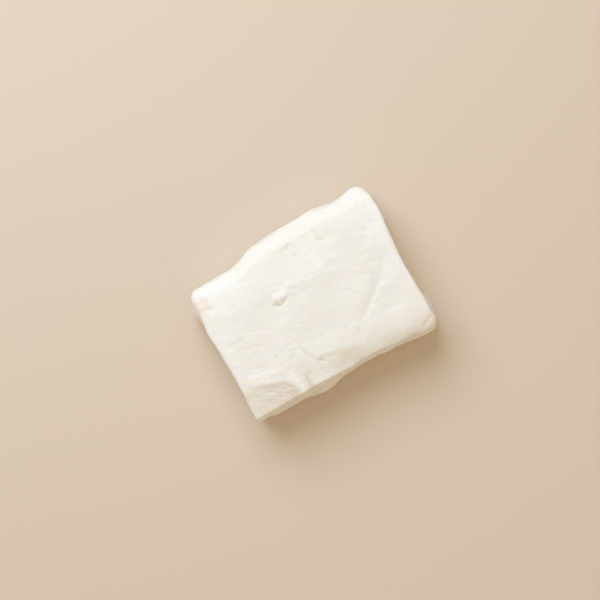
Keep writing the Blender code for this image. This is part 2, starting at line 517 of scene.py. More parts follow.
@dataclass(frozen=True)
class Rough(Form):
    """An oval patch of torn or streaked curd: noise that is stretched along one direction."""

    place: Place
    spread: Place
    turn: float
    grain: Place
    depth: float
    seed: int

    def near(self, x: Array, y: Array) -> Array:
        """Picks the places within two spreads of the patch's middle, past which it has died out."""
        return in_box(x, y, (self.place,), PATCH_REACH * max(self.spread))

    def height(self, x: Array, y: Array) -> Array:
        """Works out the patch: exp(-a^4 - b^4) times noise with cells of the size grain.

        Here a and b are the ways along the patch and across it, in spreads.

        Args:
            x: East-west places in millimetres.
            y: North-south places in millimetres.

        Returns:
            The height to add in millimetres.
        """
        long_way, short_way = turned(x, y, self.place, self.turn)
        mask = np.exp(-((long_way / self.spread[0]) ** 4) - (short_way / self.spread[1]) ** 4)
        places = np.stack([long_way / self.grain[0], short_way / self.grain[1], np.zeros(x.shape)], axis=1)
        return self.depth * mask * layered_noise(places, 1.0, self.seed)


# The forms of the top are in millimetres, on the block's own axes before it is centred, x to the east
# and y to the north. A facet has its place, direction downhill, slope, rounding, and where along x it is
# full and gone. A fold has its line, half width, rise, section, reach, painted shade and taper. A lump has
# its place, spreads, turn, rise and painted shade. A rough patch has its place, spreads, turn, grain,
# depth and seed. Painted shade darkens and yellows the top; below 0 it is painted highlight, paler.

# The south-west corner falls away below a ledge, as a facet of torn and streaked curd. Painted shade
# darkens the facet, which faces away from the light, and lies in its furrows and pits.
SOUTH_WEST_CORNER = (
    Facet((-52.0, -22.6), -104.0, 0.37, 1.6, -33.0, -27.0),
    Fold(((-51.5, -21.8), (-46.5, -23.3), (-42.5, -24.9), (-38.6, -26.4), (-35.0, -27.6), (-32.0, -29.0),
          (-30.4, -31.2), (-29.4, -33.6)), 1.9, 0.46, Profile.LEDGE, 4.6, painted_shade=0.04),
    Lump((-39.0, -28.0), (3.4, 1.3), -22.0, -0.16, painted_shade=0.08),
    # painted shade: a tint with no rise that darkens the facet, which faces away from the light
    Lump((-41.0, -32.0), (9.5, 5.0), -14.0, 0.0, painted_shade=0.12),
    Fold(((-48.2, -23.6), (-45.0, -24.8), (-41.5, -26.2), (-37.5, -27.2)), 0.8, -0.16),
    Lump((-49.2, -22.0), (1.2, 0.8), 30.0, -0.24, painted_shade=0.08),
    Fold(((-44.5, -28.2), (-41.0, -29.4), (-38.0, -31.0), (-35.0, -33.6), (-32.8, -36.0)), 0.6, -0.20),
    Fold(((-36.8, -30.0), (-34.8, -31.0), (-32.8, -31.6)), 0.5, -0.18),
    Fold(((-38.5, -33.0), (-36.5, -34.6), (-35.0, -36.2)), 0.5, -0.16),
    Lump((-29.4, -37.0), (1.7, 2.8), 0.0, -0.90, painted_shade=0.36),
    Rough((-40.5, -31.0), (11.0, 5.0), -24.0, (4.2, 1.1), 0.34, 301),
    Rough((-34.0, -32.5), (5.0, 4.5), -44.0, (3.6, 0.9), 0.42, 311),
)

# North of that corner a low mound carries ripples that run down towards the south-east. Painted
# highlight lies on its raised curd and painted shade in its pits and furrows.
MOUND_AND_RIPPLES = (
    Fold(((-50.0, -12.8), (-46.0, -13.6), (-42.0, -15.3), (-38.5, -16.5), (-34.5, -18.0)),
         0.8, -0.24, Profile.LEDGE, 1.7),
    Fold(((-48.5, -16.6), (-45.0, -17.4), (-41.0, -18.2), (-37.0, -19.3), (-34.0, -20.5), (-31.0, -22.0)),
         1.0, -0.36, Profile.LEDGE, 2.4),
    Fold(((-45.0, -20.8), (-41.0, -22.4), (-38.0, -24.0), (-35.4, -25.4)), 1.0, -0.28, Profile.LEDGE, 1.4),
    Fold(((-37.0, -22.3), (-34.8, -23.0), (-32.4, -23.4)), 0.6, -0.16),
    Fold(((-35.0, -25.2), (-32.2, -26.1), (-29.8, -27.5), (-28.2, -29.4)), 0.9, -0.30, Profile.LEDGE, 1.5),
    Fold(((-50.0, 0.8), (-47.6, 0.9), (-44.8, 1.1), (-42.0, 1.2), (-38.2, 0.4)), 1.1, -0.26, painted_shade=0.06),
    Fold(((-41.0, 4.4), (-37.5, 3.3), (-34.0, 2.0), (-30.5, 0.8), (-27.5, -1.2)),
         0.6, -0.20, Profile.LEDGE, 1.5),
    Fold(((-39.0, 1.9), (-35.5, 0.4), (-32.0, -1.0)), 0.5, -0.14, Profile.LEDGE, 1.0),
    Fold(((-38.0, -0.5), (-35.5, -1.9), (-33.0, -3.2), (-30.0, -4.2)), 0.5, -0.14, Profile.LEDGE, 1.0),
    Fold(((-44.8, -4.4), (-42.4, -4.8), (-40.4, -6.0), (-38.8, -6.8)), 0.8, -0.26, Profile.LEDGE, 1.8),
    Fold(((-39.0, -4.6), (-36.5, -5.6), (-34.0, -7.4), (-31.5, -8.8)), 0.8, -0.20, Profile.LEDGE, 1.6),
    Lump((-48.4, -6.8), (3.4, 4.6), 0.0, 0.30, painted_shade=-0.25),
    Lump((-24.2, -10.4), (2.0, 2.8), 25.0, 0.34, painted_shade=-0.10),
    Fold(((-28.5, 2.0), (-25.0, -1.2), (-23.4, -5.0)), 1.2, -0.20),
    Lump((-29.3, -15.2), (0.6, 0.6), 0.0, -0.34, painted_shade=0.45),
    Fold(((-27.4, -22.4), (-26.8, -24.2), (-26.1, -25.4)), 0.8, -0.26, painted_shade=0.10),
)

# A shallow furrow runs down to the south side, beside a pinched crease that ends in a small pit.
# Painted shade lies in the crease, the pits and the sunken rim, and painted highlight on raised curd.
FURROW_AND_CREASE = (
    Fold(((-20.5, -12.0), (-20.8, -17.0), (-20.6, -23.0), (-20.4, -29.0), (-20.2, -38.5)), 1.8, -0.30),
    Lump((-19.0, -25.6), (2.0, 2.6), 0.0, -0.26),
    Fold(((-21.6, -13.0), (-20.4, -13.2), (-18.9, -13.3)), 0.34, -0.28, painted_shade=0.30),
    Fold(((-21.6, -14.4), (-20.0, -14.6), (-18.7, -16.0), (-18.3, -17.6)), 0.55, 0.20),
    Lump((-21.3, -19.2), (1.1, 0.75), -10.0, -0.42, painted_shade=0.26),
    Lump((-18.1, -10.0), (0.4, 0.35), 0.0, -0.18, painted_shade=0.25),
    Fold(((-18.4, -16.8), (-16.9, -17.1), (-15.7, -18.6), (-14.8, -21.0), (-13.4, -24.2), (-11.4, -26.6)),
         0.75, -0.50, Profile.SHARP, painted_shade=0.26, taper=0.08),
    Lump((-10.1, -27.9), (1.25, 0.75), -28.0, -0.44, painted_shade=0.70),
    Lump((-8.8, -28.9), (0.8, 0.5), -30.0, -0.24, painted_shade=0.55),
    Fold(((-10.0, -26.9), (-7.6, -27.6), (-5.2, -28.3), (-2.2, -29.8)), 0.65, -0.36, painted_shade=0.26),
    Fold(((-5.0, -28.6), (-2.0, -29.8), (0.6, -31.4), (2.6, -33.4), (4.2, -36.0)),
         1.35, -0.22, painted_shade=0.06),
    Lump((-6.3, -29.0), (1.0, 0.45), -5.0, -0.18, painted_shade=0.35),
    Lump((-6.7, -33.3), (0.9, 0.7), 0.0, -0.30, painted_shade=0.20),
    Lump((2.8, -35.0), (1.5, 1.3), -40.0, -0.08, painted_shade=0.04),
    Lump((0.2, -39.4), (6.4, 5.2), 6.0, -2.50),
    # painted shade: a tint with no rise that darkens where the rim sinks away from the light
    Lump((-0.6, -34.6), (5.4, 3.2), 0.0, 0.0, painted_shade=0.10),
    Fold(((-12.0, -30.8), (-9.6, -32.4), (-8.4, -35.4)), 1.2, 0.16),
    Lump((-18.5, -31.0), (0.75, 0.65), 0.0, -0.42, painted_shade=0.50),
    Lump((-25.2, -33.8), (1.8, 3.2), 10.0, 0.85, painted_shade=-0.26),
    Lump((-26.0, -31.6), (0.9, 0.7), 0.0, 0.36, painted_shade=-0.30),
    Rough((-25.0, -33.0), (3.6, 5.2), 20.0, (1.5, 0.9), 0.74, 321),
    Lump((-20.6, -36.6), (1.2, 3.4), 0.0, -1.00, painted_shade=0.45),
    Rough((-13.0, -34.5), (7.5, 3.4), 0.0, (1.6, 1.1), 0.22, 323),
    Facet((-15.0, -26.0), -100.0, 0.20, 3.0, -19.0, -26.0),
)

# The north-west corner is pinched up, with creased hollows beside it. Painted shade lies in the
# hollows and painted highlight on the pinched-up curd.
NORTH_WEST_CORNER = (
    Facet((-44.5, 27.0), 172.0, 0.20, 1.2, -44.0, -40.0),
    Lump((-45.4, 33.4), (3.6, 2.4), 20.0, 0.60, painted_shade=-0.20),
    Lump((-49.8, 26.8), (3.0, 3.6), 20.0, -0.55, painted_shade=0.42),
    Lump((-52.8, 26.6), (1.6, 4.2), 8.0, -0.50, painted_shade=0.50),
    Fold(((-49.6, 31.2), (-47.8, 29.4), (-46.0, 27.4), (-46.6, 24.8), (-45.4, 23.0), (-43.0, 21.9)),
         1.00, -0.50, painted_shade=0.30),
    Fold(((-53.0, 28.6), (-51.4, 29.4), (-49.8, 28.6), (-49.0, 26.6)), 0.7, -0.30, painted_shade=0.20),
    Fold(((-52.8, 25.4), (-50.6, 24.2), (-48.4, 24.0), (-46.8, 24.8)), 0.7, -0.32, painted_shade=0.20),
    Fold(((-50.6, 27.4), (-49.4, 26.6), (-48.2, 26.8)), 0.5, 0.26),
    Fold(((-52.6, 27.2), (-52.1, 25.0), (-51.4, 23.0)), 0.6, 0.30),
    Rough((-49.4, 26.6), (4.6, 5.4), 60.0, (2.2, 1.2), 0.40, 331),
    Lump((-45.6, 20.0), (1.9, 1.5), 20.0, 0.34, painted_shade=-0.15),
    Lump((-41.2, 20.4), (0.9, 0.6), 0.0, 0.16),
    Fold(((-50.6, 20.6), (-48.6, 22.2), (-46.8, 22.6)), 0.6, 0.24),
)

# Small pits and pinches lie along the band where the top rounds over to the cloth side. Painted shade
# lies in the pits; the band carries painted highlight to the west and faint painted shade along its edge.
NORTH_BAND = (
    Facet((-35.0, 26.0), 88.0, 0.090, 0.6, -26.0, -21.0),
    # painted highlight: a pale tint with no rise on the lit band
    Lump((-35.0, 30.2), (11.0, 3.8), 0.0, 0.0, painted_shade=-0.42),
    Fold(((-19.6, 35.6), (-20.6, 33.4), (-21.8, 31.2), (-22.3, 29.4)),
         0.50, -0.34, Profile.SHARP, painted_shade=0.10),
    Lump((-20.5, 27.0), (2.8, 1.4), -5.0, -0.26),
    Fold(((-1.8, 30.0), (1.0, 30.2), (3.0, 30.6)), 0.8, -0.12, painted_shade=0.22),
    Lump((3.9, 30.6), (1.15, 0.66), 14.0, -0.34, painted_shade=0.52),
    Fold(((4.9, 30.2), (5.4, 31.3), (6.4, 32.4)), 0.40, -0.16, painted_shade=0.30),
    Fold(((6.1, 33.6), (6.5, 35.2), (8.0, 35.7)), 0.5, -0.10),
    Lump((-1.2, 32.7), (1.1, 0.5), -15.0, -0.14, painted_shade=0.12),
    Lump((5.8, 25.1), (0.8, 0.6), 0.0, -0.32, painted_shade=0.42),
    Fold(((5.3, 28.4), (5.4, 26.8), (6.4, 26.0)), 0.40, -0.08),
    Lump((13.7, 30.7), (1.0, 0.5), -12.0, -0.20, painted_shade=0.28),
    Fold(((15.8, 33.4), (17.0, 33.8), (18.6, 35.0)), 0.70, -0.14, painted_shade=0.12),
    Lump((19.9, 31.2), (0.65, 0.6), 0.0, -0.30, painted_shade=0.40),
    Lump((20.8, 28.6), (0.8, 0.8), 0.0, -0.26, painted_shade=0.30),
    Fold(((18.2, 28.0), (19.1, 26.7), (20.9, 25.4), (23.0, 24.2)), 0.55, -0.30, painted_shade=0.34),
    Lump((25.2, 25.4), (2.8, 2.6), -50.0, -0.34, painted_shade=0.10),
    Rough((14.0, 38.8), (30.0, 2.0), -3.0, (0.8, 0.8), 0.12, 371),
    Rough((-32.0, 33.4), (9.0, 2.2), 0.0, (1.4, 0.9), 0.14, 373),
    Facet((44.0, 33.5), 62.0, 0.10, 2.5, 44.0, 34.0),
    # painted shade: a faint tint with no rise that dims the lit rounded edge
    Lump((0.0, 40.5), (70.0, 4.2), 0.0, 0.0, painted_shade=0.05),
)

# A crumb stands over a hollow, with a trail of small flakes to its east. The crumb and the flakes
# carry painted highlight, and the hollow carries the crumb's painted shadow.
CRUMB_AND_TRAIL = (
    Fold(((-16.2, 10.0), (-14.4, 9.3), (-12.4, 8.8), (-10.4, 8.4), (-8.0, 8.0)),
         0.60, 0.44, Profile.LEDGE, 2.4),
    # painted shadow: the crescent hollow under the crumb
    Fold(((-16.9, 9.0), (-16.1, 7.9), (-14.8, 7.0), (-13.2, 6.7), (-11.4, 7.1), (-9.8, 7.6), (-8.6, 8.0)),
         0.64, -0.54, painted_shade=0.58, taper=0.08),
    Lump((-14.8, 7.4), (1.2, 0.7), -20.0, -0.22, painted_shade=0.26),
    Lump((-13.5, 8.0), (0.65, 0.50), 0.0, 0.36, painted_shade=-0.50),
    Lump((-9.0, 11.2), (2.0, 1.4), 35.0, 0.40, painted_shade=-0.70),
    Lump((-12.6, 10.9), (2.8, 1.5), -8.0, 0.40, painted_shade=-0.80),
    Lump((-11.2, 13.4), (2.2, 0.6), 12.0, 0.14, painted_shade=-0.20),
    Fold(((-14.4, 15.8), (-12.0, 14.9), (-9.4, 15.2)), 0.9, 0.16),
    Fold(((-17.2, 18.0), (-16.2, 16.2), (-15.0, 14.2)), 0.9, 0.12),
    Fold(((-19.2, 12.6), (-18.0, 11.8), (-16.8, 11.0)), 0.6, -0.14),
    Lump((-3.1, 12.7), (1.6, 0.9), -35.0, 0.34, painted_shade=-0.24),
    Lump((2.9, 12.2), (1.1, 0.8), -30.0, 0.32, painted_shade=-0.24),
    Lump((6.3, 10.2), (0.8, 0.6), 20.0, 0.28, painted_shade=-0.20),
    Lump((3.6, 9.5), (0.9, 0.6), 0.0, 0.12),
    Lump((-4.6, 8.6), (1.1, 0.7), -15.0, 0.28, painted_shade=-0.22),
    Fold(((-4.8, 10.7), (-3.4, 10.1), (-1.8, 9.9)), 0.55, -0.12, painted_shade=0.10),
    Fold(((-1.0, 8.2), (0.0, 6.9), (1.8, 5.9)), 0.65, -0.12, painted_shade=0.10),
    Fold(((6.6, 9.0), (7.8, 8.2), (9.0, 7.2)), 0.60, -0.16),
    Lump((6.0, 4.6), (0.9, 0.5), 0.0, -0.14),
    Lump((-3.8, 3.8), (0.9, 0.5), -20.0, -0.12),
    Fold(((-5.2, 2.4), (-3.4, 1.8), (-1.4, 1.2)), 0.7, 0.14),
    Lump((18.4, 10.2), (1.3, 0.8), -20.0, -0.18),
    Lump((18.0, 7.7), (1.2, 0.7), -10.0, 0.20),
    Fold(((19.0, 15.2), (21.4, 14.2), (24.0, 13.0)), 0.9, 0.16),
    Fold(((26.6, 16.4), (27.4, 15.7), (28.4, 15.4)), 0.45, 0.20),
    Lump((8.1, 12.6), (0.5, 0.4), 0.0, -0.18),
    Lump((6.9, 15.9), (1.0, 0.6), 0.0, -0.12),
    Rough((-2.0, 11.0), (15.0, 6.0), -8.0, (3.0, 1.9), 0.14, 341),
    Rough((-18.0, 20.0), (22.0, 7.0), -30.0, (4.4, 1.9), 0.22, 351),
)

# Two steps with a ridge along them cross the east half, with small pits and flakes around them. The
# ridge and the raised flakes carry painted highlight, and the pits and furrows painted shade.
EAST_HALF = (
    Fold(((15.0, -24.6), (21.0, -21.0), (25.4, -17.8), (29.8, -14.5), (34.4, -10.6), (39.0, -6.0),
          (42.8, -1.8), (46.6, 1.8), (51.0, 5.0)), 1.3, -0.27, Profile.LEDGE, 3.6, taper=0.16),
    Fold(((16.0, -27.2), (22.6, -23.2), (27.2, -20.2), (31.8, -17.0), (36.6, -13.2), (41.2, -8.6),
          (45.0, -4.2), (48.4, -0.8), (52.0, 1.8)), 3.4, -0.52, Profile.LEDGE, 5.4, taper=0.16),
    Fold(((19.0, -20.6), (24.0, -17.2), (28.0, -14.0), (32.0, -11.0), (36.0, -7.4), (39.4, -3.6),
          (42.6, -0.4)), 1.7, -0.08, painted_shade=0.09),
    Lump((36.6, -11.3), (1.6, 0.9), 20.0, 0.30, painted_shade=-0.30),
    Lump((34.0, -13.2), (0.9, 0.7), 20.0, 0.18, painted_shade=-0.20),
    Lump((31.2, -15.3), (1.7, 0.9), 5.0, 0.34, painted_shade=-0.34),
    Lump((26.7, -18.6), (1.8, 0.9), 20.0, 0.30, painted_shade=-0.28),
    Lump((22.9, -21.4), (1.2, 0.8), 30.0, 0.20, painted_shade=-0.16),
    Lump((47.0, -4.5), (4.6, 5.6), -35.0, 0.40, painted_shade=-0.60),
    Lump((46.5, 8.0), (5.0, 6.5), 0.0, 0.20, painted_shade=-0.35),
    Lump((31.0, 6.0), (7.0, 8.0), -30.0, -0.45),
    Lump((38.0, -16.4), (5.0, 2.6), -20.0, -0.26, painted_shade=0.06),
    Lump((33.0, -21.6), (6.0, 1.6), 5.0, -0.16),
    Fold(((11.2, 22.4), (12.4, 18.8), (13.6, 15.4), (14.4, 12.0), (15.0, 8.0)), 1.3, 0.30, painted_shade=-0.60),
    Lump((43.7, 17.4), (2.2, 1.5), 5.0, -0.42, painted_shade=0.14),
    Fold(((45.6, 18.8), (47.0, 20.4), (48.4, 21.0)), 0.8, -0.18),
    Fold(((40.8, 15.6), (39.8, 14.0), (38.6, 12.2), (37.6, 9.4)), 0.9, -0.30, painted_shade=0.08),
    Fold(((33.6, 7.4), (35.2, 7.0), (36.8, 7.2)), 0.7, -0.18),
    Fold(((36.8, 9.0), (38.2, 7.2), (39.6, 6.0)), 0.9, -0.18),
    Fold(((37.4, 3.0), (38.8, 1.8), (40.2, 0.6)), 0.9, -0.30, painted_shade=0.08),
    Lump((34.7, 3.2), (1.3, 0.8), -30.0, 0.22),
    Lump((33.4, -5.6), (1.5, 0.8), -20.0, 0.06),
    Lump((32.2, -2.2), (1.1, 0.7), -20.0, -0.16),
    Lump((29.4, 4.0), (1.6, 0.8), -50.0, -0.12),
    Fold(((26.5, -23.8), (31.0, -24.2), (36.0, -24.6), (43.0, -25.6)),
         1.5, -0.26, Profile.LEDGE, 2.4, taper=0.3),
    # painted highlight: a pale tint with no rise along the lit edge of the ledge
    Lump((36.0, -25.0), (5.0, 1.3), -4.0, 0.0, painted_shade=-0.34),
    Lump((27.2, -28.4), (0.9, 0.9), 0.0, 0.14),
    Lump((14.5, -24.3), (0.8, 0.7), 45.0, -0.28, painted_shade=0.26),
    Lump((13.4, -26.2), (0.7, 0.6), 20.0, -0.28, painted_shade=0.26),
    Lump((16.4, -29.5), (1.6, 0.9), 0.0, 0.22),
    Lump((12.4, -32.6), (1.2, 1.1), 0.0, 0.16),
    Fold(((19.2, -3.0), (20.4, -4.2), (21.6, -6.0), (23.0, -7.9), (24.8, -9.9)),
         0.32, -0.32, Profile.SHARP, painted_shade=0.28, taper=0.12),
    Fold(((17.6, -3.6), (18.6, -2.6), (20.2, -2.8)), 0.4, 0.14),
    Lump((10.5, -1.3), (0.6, 0.55), 0.0, -0.24, painted_shade=0.25),
    Lump((10.0, -20.1), (0.6, 0.45), 0.0, -0.20, painted_shade=0.20),
    Lump((8.8, -18.0), (1.0, 0.4), -35.0, -0.16),
    Fold(((-2.4, -19.4), (-3.0, -20.6), (-4.1, -21.8)), 0.5, -0.22, painted_shade=0.16),
    Lump((-1.4, -17.8), (0.8, 0.6), 0.0, -0.16),
    Lump((2.2, -26.2), (0.9, 0.4), -40.0, -0.12),
    Lump((-11.6, -5.6), (0.6, 0.5), 0.0, -0.24, painted_shade=0.20),
    Lump((-16.9, -7.0), (0.8, 0.7), 0.0, -0.18),
    Lump((-11.8, -7.6), (1.3, 0.8), -15.0, 0.20, painted_shade=-0.10),
    Lump((27.8, -38.3), (0.9, 0.45), 0.0, -0.24, painted_shade=0.3),
    Rough((38.0, 8.0), (9.0, 10.0), 60.0, (4.0, 2.4), 0.16, 361),
)

# In the south-east the rim rounds over softly, and a fold clips the corner. Painted shade darkens the
# rim and lies in the fold.
SOUTH_EAST_CORNER = (
    Facet((28.0, -37.9), -95.4, 0.42, 1.6, 9.0, 1.0),
    Facet((38.0, -25.0), -90.0, 0.10, 3.0, 26.0, 14.0),
    # painted shade: a faint tint with no rise along the rim where it rounds away from the light
    Lump((28.0, -40.2), (24.0, 1.3), -5.4, 0.0, painted_shade=0.05),
    Fold(((43.4, -40.6), (45.4, -39.6), (47.8, -38.6), (51.0, -36.6)), 1.0, -0.50, painted_shade=0.30),
    Fold(((51.0, -35.6), (51.5, -38.0), (50.9, -40.2)), 0.45, 0.34),
)


def box_net(counts: tuple[int, int, int], foot_rings: int) -> tuple[Array, Array, Array]:
    """Lays a closed net over a box, six grids of two parameters each, joined along the edges.

    The middle of the foot has no relief of its own, so it is one face inside the outer rings of cells.

    Args:
        counts: The number of cells along x, y and z.
        foot_rings: How many rings of cells the foot has around its one middle face.

    Returns:
        Each point's whole-number place along the three axes, the four points of each cell, in order
        so that the cell faces outwards, and the points around the foot's middle face.
    """
    strides = np.array([(counts[1] + 1) * (counts[2] + 1), counts[2] + 1, 1])
    keys = []
    for fixed in range(3):
        u, v = (fixed + 1) % 3, (fixed + 2) % 3
        grid_u, grid_v = np.meshgrid(np.arange(counts[u] + 1), np.arange(counts[v] + 1), indexing="ij")
        for level in (0, counts[fixed]):
            grid = grid_u * strides[u] + grid_v * strides[v] + level * strides[fixed]
            cells = np.stack([grid[:-1, :-1], grid[1:, :-1], grid[1:, 1:], grid[:-1, 1:]], axis=-1)
            if fixed == UP and level == 0:
                low, high = foot_rings, (counts[0] - foot_rings, counts[1] - foot_rings)
                inner = np.zeros(cells.shape[:2], bool)
                inner[low : high[0], low : high[1]] = True
                south, north = grid[low : high[0], low], grid[low + 1 : high[0] + 1, high[1]]
                west, east = grid[low, low + 1 : high[1] + 1], grid[high[0], low : high[1]]
                foot = np.concatenate([west, north, east[::-1], south[::-1]])
                cells = cells[~inner]
            cells = cells.reshape(-1, 4)
            keys.append(cells if level else cells[:, ::-1])
    cells = np.concatenate(keys)
    used, index = np.unique(cells, return_inverse=True)
    lattice = np.stack([used // strides[0], used % strides[0] // strides[1], used % strides[1]], axis=1)
    return lattice, index.reshape(-1, 4), np.searchsorted(used, foot)


def point_normals(points: Array, cells: Array) -> Array:
    """Works out each point's outward direction: the sum of its cells' cross products of diagonals.

    Args:
        points: The net's points, one a row.
        cells: The four points of each cell.

    Returns:
        A direction of length 1 for each point.
    """
    corner = points[cells]
    facing = np.cross(corner[:, 2] - corner[:, 0], corner[:, 3] - corner[:, 1])
    summed = np.zeros_like(points)
    for i in range(4):
        np.add.at(summed, cells[:, i], facing)
    return summed / np.maximum(np.linalg.norm(summed, axis=1, keepdims=True), NO_AREA)


def mesh_object(
    name: str, points: Array, faces: list[list[int]], material: bpy.types.Material
) -> bpy.types.Object:
    """Puts a worked-out surface into Blender as a smooth mesh at the origin.

    Args:
        name: The piece's name.
        points: Its points, one a row.
        faces: The points of each face.
        material: The finish that it wears.

    Returns:
        The new object, linked to the scene.
    """
    data = bpy.data.meshes.new(name)
    data.from_pydata(points.tolist(), [], faces)
    data.shade_smooth()
    data.materials.append(material)
    piece = bpy.data.objects.new(name, data)
    bpy.context.scene.collection.objects.link(piece)
    return piece


def store(piece: bpy.types.Object, name: str, values: Array) -> None:
    """Stores one number for each point as an attribute that the material reads."""
    attribute = piece.data.attributes.new(name, "FLOAT", "POINT")
    attribute.data.foreach_set("value", values.astype(np.float32))


# Swells and steps that a side's belly and its upper edge share, in metres.
NORTH_SHAPES = (
    Step(-0.0292, -0.0100, 0.0038),
    Step(-0.0180, 0.0060, 0.0014),
    Step(0.0190, 0.0410, -0.0030),
    Swell(0.0465, 0.0055, 0.0019),
)
EAST_STEP = Step(-0.0080, 0.0280, 0.0034)
WEST_STEPS = (Step(-0.0360, -0.0140, -0.0015), Step(0.0140, 0.0240, -0.0008))


@dataclass
class CheeseBlock:
    """The block of cheese, with the same driving sizes as the solid and a finer skin.

    The end radii are those at the south corner, in the middle and at the north corner. A side wave has
    its length, phase and depth, a top wave its length, direction, phase and depth, and a layer of curd
    noise its cells' size and its depth. Directions are in degrees and phases in radians.
    """

    length: float = 0.1064
    width: float = 0.0760
    height: float = 0.0380
    cells: tuple[int, int, int] = (240, 170, 60)
    foot_rings: int = 8
    crowding: Triple = (0.14, 0.14, 0.50)

    south_foot_radius: float = 0.0032
    south_top_radius: float = 0.0008
    north_foot_radius: float = 0.0070
    north_top_radius: float = 0.0090
    east_end_radii: Triple = (0.0048, 0.0014, 0.0046)
    west_end_radii: Triple = (0.0008, 0.0014, 0.0045)
    corner_reach: float = 0.0110

    belly_end: float = 0.16
    upright_start: float = 0.88
    foot_inset: float = 0.0011
    settled: float = 0.0004
    side_waves: tuple[Triple, ...] = (
        (0.034, 0.4, 0.00040),
        (0.019, 2.3, 0.00022),
        (0.0125, 5.1, 0.00012),
    )
    side_wave_height: float = 0.022
    side_waves_from: float = 0.20
    side_waves_to: float = 0.75
    top_waves: tuple[tuple[float, float, float, float], ...] = (
        (0.046, 35.0, 0.6, 0.00022),
        (0.027, -50.0, 2.1, 0.00016),
        (0.019, 80.0, 4.0, 0.00010),
    )

    north: Side = Side(Outline(-0.0018, NORTH_SHAPES), Outline(-0.0030, NORTH_SHAPES))
    south: Side = Side(
        Outline(
            0.0016,
            (
                Step(-0.0540, -0.0420, 0.0032),
                Swell(-0.0154, 0.0050, 0.0032),
                Step(0.0040, 0.0220, 0.0006),
                Step(0.0260, 0.0480, 0.0034),
            ),
        ),
        Outline(
            0.0005,
            (Step(-0.0240, 0.0020, 0.0013), Step(0.0120, 0.0340, 0.0016), Step(0.0370, 0.0450, 0.0021)),
        ),
        (
            # painted shade (above 0) and painted highlight (below 0) lie along each shelf's step, in the
            # side's shadow
            Shelf(0.925, 0.00045, painted_shade=0.45),
            Shelf(0.850, 0.00055, wave_start=1.4, painted_shade=-0.50),
            Shelf(0.755, 0.00050, wave_start=2.9, painted_shade=0.40),
        ),
    )
    east: Side = Side(
        Outline(-0.0009, (EAST_STEP, Swell(0.0192, 0.0030, 0.0026), Swell(-0.0270, 0.0050, 0.0028))),
        Outline(-0.0015, (EAST_STEP,)),
    )
    west: Side = Side(
        Outline(0.0014, (*WEST_STEPS, Swell(0.0245, 0.0055, 0.0036))),
        Outline(0.0013, (*WEST_STEPS, Swell(0.0120, 0.0030, 0.0005))),
    )
    north_sink: Step = Step(0.010, 0.044, -0.0031)

    relief: tuple[Form, ...] = (
        SOUTH_WEST_CORNER
        + MOUND_AND_RIPPLES
        + FURROW_AND_CREASE
        + NORTH_WEST_CORNER
        + NORTH_BAND
        + CRUMB_AND_TRAIL
        + EAST_HALF
        + SOUTH_EAST_CORNER
    )
    wander_size: float = 1.9
    wander_depth: float = 0.34
    wander_seeds: tuple[int, int] = (71, 81)
    lit_side_lead: float = 0.45
    tint_from: Band = (0.7, 0.9)
    seam_facing: Band = (0.5, 0.8)

    streak_turn: float = -32.0
    curd_seed: int = 11
    curd_noise: tuple[tuple[Triple, float], ...] = (
        ((0.0190, 0.0110, 0.0150), 0.00022),
        ((0.0072, 0.0042, 0.0046), 0.00020),
        ((0.0030, 0.0022, 0.0024), 0.00008),
        ((0.0013, 0.0010, 0.0011), 0.000015),
    )
    layer_seed: int = 41
    layer_size: Triple = (0.0200, 0.0200, 0.0019)
    layer_depth: float = 0.00020
    cloth_seed: int = 61
    cloth_wave_size: Triple = (0.0130, 0.0130, 0.0080)
    cloth_wave_depth: float = 0.00020
    level_facing: Band = (0.35, 0.80)
    cloth_facing: Band = (0.2, 0.7)

    def box_points(self, lattice: Array) -> Array:
        """Places the net on the sharp box: half * (t + crowding * sin(pi t) / pi) along each axis.

        Args:
            lattice: Each point's whole-number place along the three axes.

        Returns:
            The points of the sharp box that stands on z = 0, one a row.
        """
        t = 2.0 * lattice / np.array(self.cells) - 1.0
        halves = np.array([self.length, self.width, self.height]) / 2.0
        placed = halves * (t + np.array(self.crowding) * np.sin(math.pi * t) / math.pi)
        return placed + np.array([0.0, 0.0, halves[2]])

    def end_radius(self, x: Array, y: Array) -> Array:
        """Mixes the radius around the nearer cut end between its two corners and its middle.

        Args:
            x: East-west places.
            y: North-south places.

        Returns:
            The radius at each place.
        """
        radii = np.where(x[:, None] > 0.0, self.east_end_radii, self.west_end_radii)
        near_north = smooth_step(self.width / 2 - self.corner_reach, self.width / 2, y)
        near_south = smooth_step(self.width / 2 - self.corner_reach, self.width / 2, -y)
        return mix(mix(radii[:, 1], radii[:, 2], near_north), radii[:, 0], near_south)

    def rounded(self, box: Array) -> Array:
        """Rounds the sharp box.

        Squares around each long edge become circles: a point keeps the larger of its two offsets from
        the circle's centre as its distance. Around the two ends the section draws in on a quarter
        circle of the end's own radius.

        Args:
            box: Points of the sharp box, one a row.

        Returns:
            The same points on the box with rounded edges.
        """
        x, y, z = box.T
        north, up = y / self.width + 0.5, z / self.height
        foot = mix(self.south_foot_radius, self.north_foot_radius, north)
        top = mix(self.south_top_radius, self.north_top_radius, north)
        radius = mix(foot, top, up)
        inner_y = np.clip(y, radius - self.width / 2, self.width / 2 - radius)
        inner_z = np.clip(z, radius, self.height - radius)
        off_y, off_z = y - inner_y, z - inner_z
        length = np.maximum(np.hypot(off_y, off_z), NO_LENGTH)
        reach = np.maximum(np.abs(off_y), np.abs(off_z))

